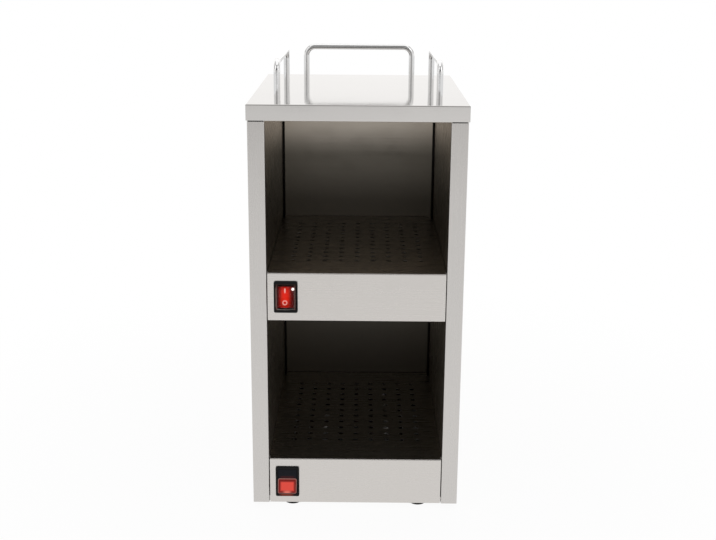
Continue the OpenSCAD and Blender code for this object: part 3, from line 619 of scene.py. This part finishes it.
def braided_sleeve():
    """Glass fibre sleeve over the wires, brown with a fine braid."""
    made = Finish("braided_sleeve")
    x, y, z = made.axes()
    braid = (x + y + z).wave(1.1 * mm) * (x - y + z).wave(1.1 * mm) * 0.5 + 0.5
    fuzz = made.noise(1800, 3.0, 0.6)
    made.set(
        Base_Color=made.blend(braid, (0.10, 0.045, 0.025, 1), (0.30, 0.16, 0.09, 1)),
        Roughness=0.7 + fuzz * 0.2,
        Normal=made.bump(braid + fuzz * 0.4, 0.12 * mm, 0.7),
    )
    return made.material


def dress(finish, *names):
    """Gives CAD nodes one finish."""
    for name in names:
        slots = nodes[name].data.materials
        slots.clear()
        slots.append(finish)


# New pieces


def piece(name, mesh, finish, body):
    """Makes a finished mesh a piece of the object that rides on a body."""
    bmesh.ops.recalc_face_normals(mesh, faces=mesh.faces)
    data = bpy.data.meshes.new(name)
    mesh.to_mesh(data)
    mesh.free()
    data.materials.append(finish)
    made = bpy.data.objects.new(name, data)
    bpy.context.scene.collection.objects.link(made)
    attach(made, body)


def on_rocker(pivot, half, along):
    """Frame on one sloping half of a rocker, pressed in at the top: Z out of the plastic."""
    face = Matrix.Translation((0, -CROWN, 0)) @ Matrix.Rotation(half * TILT, 4, "X")
    stand = Matrix.Rotation(math.radians(90), 4, "X")
    return (
        Matrix.Translation(pivot)
        @ Matrix.Rotation(-TILT, 4, "X")
        @ face
        @ Matrix.Translation((0, 0, half * along))
        @ stand
    )


def bar_mark(width, height, thickness):
    """Upright stroke with round ends."""
    mesh = bmesh.new()
    bmesh.ops.create_cube(mesh, size=1.0)
    bmesh.ops.scale(mesh, vec=(width, height, thickness), verts=mesh.verts)
    upright = [
        e for e in mesh.edges
        if abs(e.verts[0].co.z - e.verts[1].co.z) > thickness / 2
    ]
    bmesh.ops.bevel(
        mesh, geom=upright, offset=width * 0.45, affect="EDGES", segments=5,
        profile=0.5, material=-1,
    )
    return mesh


def ring_mark(radius, stroke, thickness):
    """Flat ring, a small rectangle spun all the way round."""
    mesh = bmesh.new()
    corners = [
        mesh.verts.new((radius - stroke, 0, -thickness / 2)),
        mesh.verts.new((radius, 0, -thickness / 2)),
        mesh.verts.new((radius, 0, thickness / 2)),
        mesh.verts.new((radius - stroke, 0, thickness / 2)),
    ]
    section = mesh.faces.new(corners)
    geometry = list(section.verts) + list(section.edges)
    mesh.faces.remove(section)
    bmesh.ops.spin(
        mesh, geom=geometry, cent=(0, 0, 0), axis=(0, 0, 1), dvec=(0, 0, 0),
        angle=2 * math.pi, steps=48, use_merge=True,
    )
    return mesh


def marks(pivot, finish):
    """I and O on the upper rocker."""
    lamp = pivot - Vector((0.8 * mm, 0, 0))
    bar = bar_mark(1.6 * mm, 5.8 * mm, 0.16 * mm)
    bmesh.ops.transform(bar, matrix=on_rocker(lamp, 1, 8.0 * mm), verts=bar.verts)
    piece("mark_on", bar, finish, "upper_rocker")
    ring = ring_mark(3.0 * mm, 1.2 * mm, 0.16 * mm)
    bmesh.ops.transform(ring, matrix=on_rocker(lamp, -1, 6.8 * mm), verts=ring.verts)
    piece("mark_off", ring, finish, "upper_rocker")


# Room


def dark_end(x, y):
    """How far a direction points to the dark end of the room.

    The three results are for the dark core, the wide flank round it and the dark wall.
    """
    facing = (x * DARK_END[0] + y * DARK_END[1]) / (x * x + y * y).power(0.5)
    return facing.rise(0.75, 0.98), facing.rise(-1.0, 0.8), facing.rise(0.74, 0.90)


def floor():
    """Pale floor that stays white in the distance and keeps the shadow near by."""
    mesh = bmesh.new()
    bmesh.ops.create_circle(mesh, cap_ends=True, segments=96, radius=FLOOR_RADIUS)
    data = bpy.data.meshes.new("floor")
    mesh.to_mesh(data)
    mesh.free()
    made = bpy.data.objects.new("floor", data)
    bpy.context.scene.collection.objects.link(made)
    material = bpy.data.materials.new("pale_floor")
    data.materials.append(material)
    net = Network(material)
    net.tree.nodes.clear()
    seen = net.add("ShaderNodeLightPath", output="Is Camera Ray")
    glossy = net.add("ShaderNodeLightPath", output="Is Glossy Ray")
    through = net.add("ShaderNodeLightPath", output="Is Transmission Ray")
    place = net.add("ShaderNodeTexCoord", output="Object")
    away = net.add("ShaderNodeVectorMath", {"operation": "LENGTH"}, [place], output="Value")
    x, y, z = net.split(place)
    core, flank, wall = dark_end(x, y)

    # How much darker steel sees the floor: at the dark end of the room, in front, at the sides
    beyond = 1 - y.rise(-4.9, -4.2)
    dark = beyond * (core * 0.5 + flank * 0.24)
    dip = (1 - y.rise(-0.85, -0.5)) * y.rise(-3.4, -2.2) * 0.03
    sides = away.rise(0.6, 4.0) * (1 - wall) * (1 - beyond) * 0.2
    lean = x.rise(-0.5, 0.5) * (1 - y.rise(-3.5, -1.5)) * 0.06
    level = 1 - glossy * (dark + dip + sides - lean)

    # White paper with the shadow, under a share of even white all round the cabinet
    speckle = net.add("ShaderNodeTexNoise", None, {"Vector": place, "Scale": 320.0})
    paper = net.add(
        "ShaderNodeBsdfDiffuse", None,
        {"Color": net.blend(speckle, grey(0.83), grey(0.85))},
    )
    shine = net.add("ShaderNodeEmission", None, {"Strength": level})
    under_x = 1 - abs(x).rise(0.105, 0.135)
    under_y = y.rise(-0.148, -0.125) * (1 - y.rise(0.14, 0.175))
    white = (0.95 + away.rise(0.25, 0.9) * 0.05) * (1 - under_x * under_y)
    share = seen.most(glossy).most(through) * white
    mixed = net.add("ShaderNodeMixShader", None, [share, paper, shine])
    net.add("ShaderNodeOutputMaterial", None, [mixed])


def world():
    """White to the camera. The room behind the camera is dark, as metal shows it."""
    room = bpy.data.worlds.new("studio")
    bpy.context.scene.world = room
    net = Network(room)
    net.tree.nodes.clear()
    seen = net.add("ShaderNodeLightPath", output="Is Camera Ray")
    way = net.add("ShaderNodeTexCoord", output="Generated")
    x, y, z = net.split(way)
    core, flank, wall = dark_end(x, y)
    low = 1 - z.rise(0.16, 0.3)
    back = y.rise(0.1, 0.7)
    side = abs(x).rise(0.6, 1.0) * z.rise(0.1, 0.2) * (1 - z.rise(0.2, 0.7))
    ceiling = z.rise(0.6, 0.85)
    plain = 0.68 + low * (1 - back) * 0.29 + back * 0.44 - side * 0.25
    end = core * (1 - z.rise(0.7, 0.9)) * 0.45 + flank * low * 0.08
    wall = wall * z.rise(0.16, 0.26) * (1 - z.rise(0.42, 0.65)) * 0.88
    level = plain * (1 - ceiling * 0.6) * (1 - wall.most(end))
    room_light = net.add(
        "ShaderNodeBackground", None, {"Color": grey(1.0, 0.01), "Strength": level},
    )
    white = net.add("ShaderNodeBackground", None, {"Color": grey(1.0), "Strength": 1.0})
    mixed = net.add("ShaderNodeMixShader", None, [seen, room_light, white])
    net.add("ShaderNodeOutputWorld", None, [mixed])


def softbox(name, at, width, height, level):
    """Area lamp of an even brightness that points at the cabinet, unseen by the camera."""
    data = bpy.data.lights.new(name, "AREA")
    data.shape = "RECTANGLE"
    data.size = width
    data.size_y = height
    data.energy = level * math.pi * width * height
    made = bpy.data.objects.new(name, data)
    made.location = at
    made.rotation_euler = (Vector(AIM) - Vector(at)).to_track_quat("-Z", "Y").to_euler()
    made.visible_camera = False
    bpy.context.scene.collection.objects.link(made)


camera()
world()
floor()
softbox("overhead", (0, 0.1, 2.2), 2.4, 2.4, 0.88)
softbox("left_front", (-1.5, -1.5, 1.7), 1.1, 1.4, 0.95)
softbox("right_front", (1.5, -1.5, 1.7), 1.1, 1.4, 0.95)
bpy.context.scene.view_settings.view_transform = "Standard"

cap_sheet = rolled_sheet("cap_sheet", "x", 0.53, 0.07, 0.03, nowhere, score=0.4)
deck_sheet = rolled_sheet("deck_sheet", "x", 0.60, 0.28, 0.045, deck_top, DECK_SHADES)
side_sheet = rolled_sheet(
    "side_sheet", "z", 0.575, 0.28, 0.035, inner_wall, SIDE_SHADES, hollow(side_y),
)
back_sheet = rolled_sheet("back_sheet", "z", 0.60, 0.30, 0.035, nowhere, gaps=hollow(back_y))
inner_sheet = rolled_sheet("inner_sheet", "x", 0.50, 0.33, 0.05, everywhere)
zinc = plated()
black = moulded("black_moulding", (0.007, 0.007, 0.007), 0.26, shine=0.12)
gland = moulded("gland_moulding", (0.020, 0.020, 0.021), 0.42)
phenolic = moulded("phenolic", (0.030, 0.022, 0.018), 0.45)
soft_black = rubber()
brass = stamped_brass()
sheath = heated_sheath()
steatite = ceramic()
sleeve = braided_sleeve()
rod = polished_rod()

dress(cap_sheet, "top_cap")
dress(deck_sheet, "upper_deck", "lower_deck")
dress(side_sheet, "left_side_panel", "right_side_panel")
dress(back_sheet, "back_panel", "bottom_plate")
dress(inner_sheet, "inner_back_panel", "ceiling_panel", "upper_deck_cover")
dress(rod, "side_rail_left", "side_rail_right", "back_rail")
dress(
    zinc, "rail_screws", "rail_washers", "foot_screws", "foot_nuts", "bottom_plate_screws",
    "back_panel_screws", "deck_cover_screws", "deck_rivets", "thermostat_studs",
    "element_bars_upper", "element_bars_lower", "element_clips_upper", "element_clips_lower",
)
dress(
    soft_black, "foot_front_left", "foot_front_right", "foot_rear_left", "foot_rear_right",
    "gland_seal", "cable_grommet",
)
dress(black, "switch_frame_upper")
dress(lit_frame(lower_pivot), "switch_frame_lower")
dress(dark_rocker(lower_pivot), "rocker_lower")
dress(gland, "cable_gland", "gland_nut", "gland_locknut")
dress(lit_rocker(upper_pivot), "rocker_upper")
dress(lit_lens(lower_pivot), "rocker_lens_lower")
dress(clear_cover(upper_pivot), "splash_cover_upper")
dress(
    brass, "switch_terminals_upper", "switch_terminals_lower", "terminal_block_clamps",
    "earth_stud",
)
dress(sheath, "heating_element_upper", "heating_element_lower")
dress(steatite, "element_terminals_upper", "element_terminals_lower", "terminal_block")
dress(phenolic, "thermostat_upper", "thermostat_lower")
dress(sleeve, "wiring_upper", "wiring_lower")

marks(upper_pivot, printed_mark())
